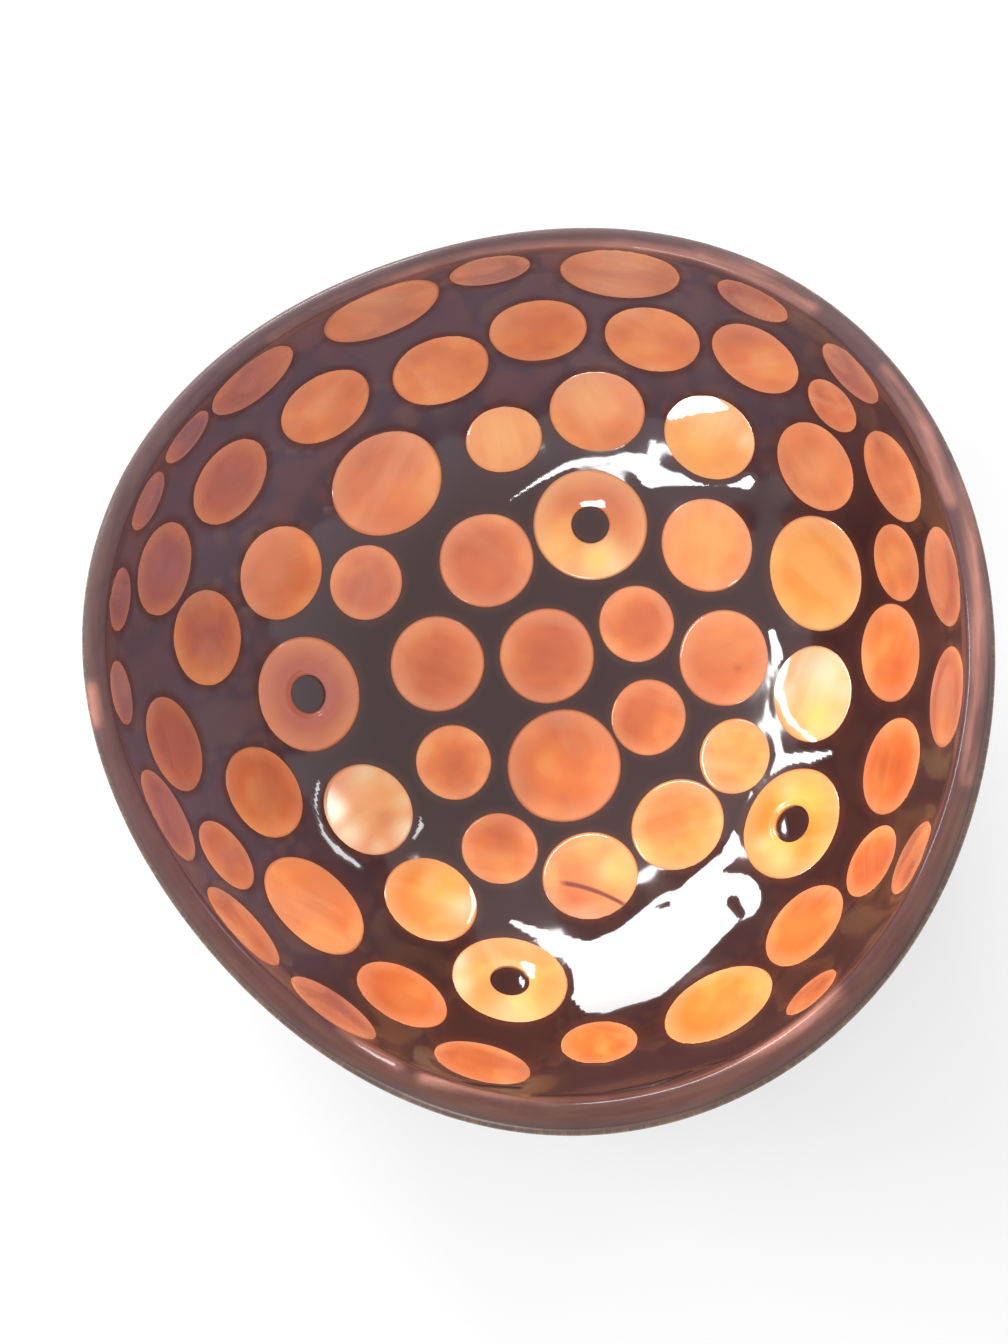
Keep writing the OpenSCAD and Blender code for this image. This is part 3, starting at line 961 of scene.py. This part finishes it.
def shell_cloud_group():
    """The colour of dyed shell: clouds and growth bands, its marks, some of them painted shade and
    painted glare, a painted sheen of room light on the far discs, and its paler edge.
    """
    tree = bpy.data.node_groups.new("shell_cloud", "ShaderNodeTree")
    sockets = tree.interface.new_socket
    for name in ("Core", "Deep", "Pale", "Golden"):
        sockets(name, in_out="INPUT", socket_type="NodeSocketColor")
    sockets("Color", in_out="OUTPUT", socket_type="NodeSocketColor")
    sockets("Height", in_out="OUTPUT", socket_type="NodeSocketFloat")
    given = tree.nodes.new("NodeGroupInput").outputs
    put_out = tree.nodes.new("NodeGroupOutput").inputs
    flat = tree.nodes.new("ShaderNodeUVMap")
    flat.uv_map = "Flat"
    lot = attribute(tree, "lot").outputs["Fac"]
    lots = tree.nodes.new("ShaderNodeCombineXYZ")
    tree.links.new(math_node(tree, "MULTIPLY", lot, 37.0), lots.inputs["X"])
    tree.links.new(math_node(tree, "MULTIPLY", lot, 91.0), lots.inputs["Z"])
    shift = tree.nodes.new("ShaderNodeVectorMath")
    tree.links.new(flat.outputs["UV"], shift.inputs[0])
    tree.links.new(lots.outputs[0], shift.inputs[1])
    moved = shift.outputs[0]
    clouds = noise(tree, moved, 0.8, 2.0)
    bands = noise(tree, stretched(tree, moved, (0.3, 2.0, 1.0)), 1.3, 1.5)
    colour = mix(tree, ramp(tree, clouds, 0.4, 0.7, 0.0, 0.8), given["Core"], given["Deep"])
    colour = mix(tree, ramp(tree, clouds, 0.44, 0.3, 0.0, 0.5), colour, given["Golden"])
    colour = mix(tree, ramp(tree, bands, 0.5, 0.8, 0.0, 0.25), colour, given["Pale"])
    cloudy = ramp(tree, bands, 0.3, 0.7, 0.7, 1.1)
    # The deep marks carry painted shade as well as darker dye, and the pale marks painted glare as
    # well as paler shell.
    for mark, into in (("golden", "Golden"), ("pale", "Pale"), ("deep", "Deep")):
        share = math_node(tree, "MULTIPLY", attribute(tree, mark).outputs["Fac"], cloudy)
        colour = mix(tree, share, colour, given[into])
    # Painted shade on the discs of the shaded walls.
    painted_shade = attribute(tree, "painted_shade").outputs["Fac"]
    colour = mix(tree, painted_shade, colour, PAINTED_SHADE_DUSK)
    # Pearly mottling, partly painted glare.
    pearl_and_glare = math_node(tree, "MULTIPLY", attribute(tree, "pearl_and_glare").outputs["Fac"], cloudy)
    golden = attribute(tree, "golden").outputs["Fac"]
    colour = mix(tree, pearl_and_glare, colour, mix(tree, golden, PEARL_AND_GLARE_WHITE, LEMON))
    # Painted sheen of reflected room light, growing towards the far discs.
    colour = mix(tree, painted_far_sheen(tree, -10 * MM, 60 * MM, 0.06), colour, DISC_PAINTED_SHEEN)
    reach = tree.nodes.new("ShaderNodeVectorMath")
    reach.operation = "LENGTH"
    tree.links.new(flat.outputs["UV"], reach.inputs[0])
    edge = ramp(tree, reach.outputs["Value"], 0.6, 1.0, 0.0, 0.34)
    colour = mix(tree, edge, colour, given["Pale"])
    outline = ramp(tree, reach.outputs["Value"], 0.94, 1.0, 0.0, 0.7)
    colour = mix(tree, outline, colour, DISC_OUTLINE)
    colour = mix(tree, cracked(tree, flat.outputs["UV"]), colour, CRACK_DARK)
    tree.links.new(colour, put_out["Color"])
    tree.links.new(bands, put_out["Height"])
    return tree


shell_cloud = shell_cloud_group()


def dyed_shell(name, core, deep, pale, golden):
    """Shell dyed orange under a clear coat."""
    material, tree, skin = finish_named(name)
    clouds = tree.nodes.new("ShaderNodeGroup")
    clouds.node_tree = shell_cloud
    for socket, value in (("Core", core), ("Deep", deep), ("Pale", pale), ("Golden", golden)):
        clouds.inputs[socket].default_value = (*value, 1)
    tree.links.new(clouds.outputs["Color"], skin.inputs["Base Color"])
    height = clouds.outputs["Height"]
    tree.links.new(ramp(tree, height, 0.3, 0.7, 0.36, 0.24), skin.inputs["Roughness"])
    skin.inputs["Specular IOR Level"].default_value = 0.25
    skin.inputs["Coat Weight"].default_value = 0.85
    skin.inputs["Coat Roughness"].default_value = 0.08
    skin.inputs["Sheen Weight"].default_value = 0.12
    skin.inputs["Sheen Roughness"].default_value = 0.5
    skin.inputs["Sheen Tint"].default_value = (*DISC_SHEEN, 1)
    tree.links.new(bump(tree, height, 0.15, 0.1 * MM), skin.inputs["Normal"])
    return material


# The shoulder over which the polish of the shell fades into the rim
DULL_BAND = 0.8 * MM


def polished_coconut():
    """Brown shell with fine pale fibres that run from the bottom up to the rim."""
    material, tree, skin = finish_named("polished_coconut")
    place = object_place(tree)
    run = attribute(tree, "run").outputs["Vector"]
    fibres = noise(tree, stretched(tree, run, (16, 16, 1.6)), 6.0, 6.0, 0.62)
    bands = noise(tree, stretched(tree, run, (4, 4, 1.2)), 2.4)
    flecks = noise(tree, place, 420, 4.0, 0.7)
    colour = mix(tree, ramp(tree, bands, 0.35, 0.65), NUT_DARK, NUT_LIGHT)
    colour = mix(tree, ramp(tree, fibres, 0.5, 0.62, 0.0, 0.75), colour, FIBRE_PALE)
    colour = mix(tree, ramp(tree, fibres, 0.36, 0.28, 0.0, 0.8), colour, FIBRE_DARK)
    colour = mix(tree, ramp(tree, flecks, 0.62, 0.7, 0.0, 0.6), colour, FLECK)
    inside = attribute(tree, "inside").outputs["Fac"]
    colour = mix(tree, ramp(tree, inside, 0.0, 0.3), colour, brushed_rim(tree))
    tree.links.new(colour, skin.inputs["Base Color"])
    tree.links.new(ramp(tree, fibres, 0.3, 0.7, 0.38, 0.26), skin.inputs["Roughness"])
    height = along_axes(tree, place)["Z"]
    duller = ramp(tree, height, EDGE_H, EDGE_H + DULL_BAND, 0.6, 0.05)
    tree.links.new(duller, skin.inputs["Coat Weight"])
    skin.inputs["Coat Roughness"].default_value = 0.12
    normal = bump(tree, fibres, 0.25, 0.15 * MM)
    tree.links.new(bump(tree, flecks, 0.12, 0.08 * MM, normal), skin.inputs["Normal"])
    return material


# ---- Putting the bowl together ----


def wear(piece, material):
    piece.data.materials.clear()
    piece.data.materials.append(material)


finishes = {
    "coconut": polished_coconut(),
    "lacquer": dark_lacquer(),
    "salmon_shell": dyed_shell(
        "salmon_shell",
        core=(0.81, 0.205, 0.038),
        deep=(0.50, 0.09, 0.018),
        pale=(0.88, 0.46, 0.25),
        golden=(0.92, 0.42, 0.10),
    ),
    "amber_shell": dyed_shell(
        "amber_shell",
        core=(0.84, 0.26, 0.036),
        deep=(0.60, 0.13, 0.020),
        pale=(0.92, 0.62, 0.32),
        golden=(0.94, 0.51, 0.11),
    ),
}


def hand_over(piece, node_name):
    wear(piece, finishes[SLOTS[node_name]])
    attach(piece, "root")
    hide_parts(node_name)


hand_over(coconut_shell(), "coconut_shell")
hand_over(lacquer_lining(settled_skin()), "lacquer_lining")
for node_name, piece in set_discs().items():
    hand_over(piece, node_name)


# ---- Floor, lamps and camera ----

# The floor and the room show white to the camera, and the floor keeps the bowl's soft shadow
FLOOR_LIFT = 0.415
FLOOR_GREY = 0.45
FLOOR_LIT = 0.8
FLOOR_SIZE = 6
ROOM_LOW, ROOM_HIGH = (0.40, 0.40, 0.42), (0.58, 0.58, 0.60)
WHITE = (1.0, 1.0, 1.0)


def looked_at(tree):
    """1 for what the camera sees, straight, in a reflection or through something clear."""
    ways = tree.nodes.new("ShaderNodeLightPath").outputs
    mirrored = math_node(tree, "MAXIMUM", ways["Is Camera Ray"], ways["Is Glossy Ray"])
    return math_node(tree, "MAXIMUM", mirrored, ways["Is Transmission Ray"])


def pale_floor():
    deselect()
    bpy.ops.mesh.primitive_plane_add(size=FLOOR_SIZE, location=(0, 0, 0))
    floor = bpy.context.active_object
    floor.name = "floor"
    material, tree, skin = finish_named("pale_floor")
    skin.inputs["Base Color"].default_value = (FLOOR_LIT, FLOOR_LIT, FLOOR_LIT, 1)
    skin.inputs["Roughness"].default_value = 1.0
    skin.inputs["Specular IOR Level"].default_value = 0.0
    shade = tree.nodes.new("ShaderNodeBsdfDiffuse")
    shade.inputs["Color"].default_value = (FLOOR_GREY, FLOOR_GREY, FLOOR_GREY, 1)
    lift = node(tree, "ShaderNodeEmission", Strength=FLOOR_LIFT)
    both = tree.nodes.new("ShaderNodeAddShader")
    shown = tree.nodes.new("ShaderNodeMixShader")
    tree.links.new(shade.outputs[0], both.inputs[0])
    tree.links.new(lift.outputs[0], both.inputs[1])
    tree.links.new(looked_at(tree), shown.inputs[0])
    tree.links.new(skin.outputs[0], shown.inputs[1])
    tree.links.new(both.outputs[0], shown.inputs[2])
    tree.links.new(shown.outputs[0], tree.nodes["Material Output"].inputs["Surface"])
    wear(floor, material)


def lamp_at(place, name, width, height, brightness):
    """A soft lamp that looks straight down."""
    lamp = bpy.data.lights.new(name, "AREA")
    lamp.shape = "RECTANGLE"
    lamp.size, lamp.size_y = width, height
    lamp.energy = math.pi * width * height * brightness
    holder = bpy.data.objects.new(name, lamp)
    bpy.context.scene.collection.objects.link(holder)
    holder.location = place
    return holder


def soft_lamp(name):
    """A soft lamp that looks at the middle of the bowl."""
    holder = lamp_at(lamp_place(name), name, *LAMPS[name][2:])
    away = Vector(lamp_place(name)) - Vector((0, 0, EDGE_H / 2))
    holder.rotation_euler = away.to_track_quat("Z", "Y").to_euler()


def fill_lamp():
    above = (0, 0, FILL_HEIGHT)
    holder = lamp_at(above, "fill_lamp", FILL_SIZE, FILL_SIZE, FILL_BRIGHTNESS)
    holder.visible_glossy = False


def pale_room():
    world = bpy.data.worlds.new("pale_room")
    world.use_nodes = True
    bpy.context.scene.world = world
    tree = world.node_tree
    back = tree.nodes["Background"]
    way = tree.nodes.new("ShaderNodeTexCoord").outputs["Generated"]
    height = ramp(tree, along_axes(tree, way)["Z"], 0.0, 1.0)
    room = mix(tree, height, ROOM_LOW, ROOM_HIGH)
    shown = mix(tree, looked_at(tree), room, WHITE)
    tree.links.new(shown, back.inputs["Color"])
    back.inputs["Strength"].default_value = 1.0


pale_floor()
pale_room()
for lamp_name in LAMPS:
    soft_lamp(lamp_name)
fill_lamp()

scene = bpy.context.scene
scene.view_settings.view_transform = "Standard"

SENSOR_H = 24

camera_data = bpy.data.cameras.new("camera")
camera_data.sensor_fit = "VERTICAL"
camera_data.sensor_height = SENSOR_H
camera_data.lens = SENSOR_H * LENS / FRAME_H
camera_data.shift_x = (FRAME_W / 2 - BOWL_MIDDLE[0]) / FRAME_H
camera_data.shift_y = (BOWL_MIDDLE[1] - FRAME_H / 2) / FRAME_H
camera_data.clip_start = 0.01
camera = bpy.data.objects.new("camera", camera_data)
scene.collection.objects.link(camera)
camera.location = Vector(EYE)
camera.rotation_euler = (LEAN, 0, 0)
scene.camera = camera
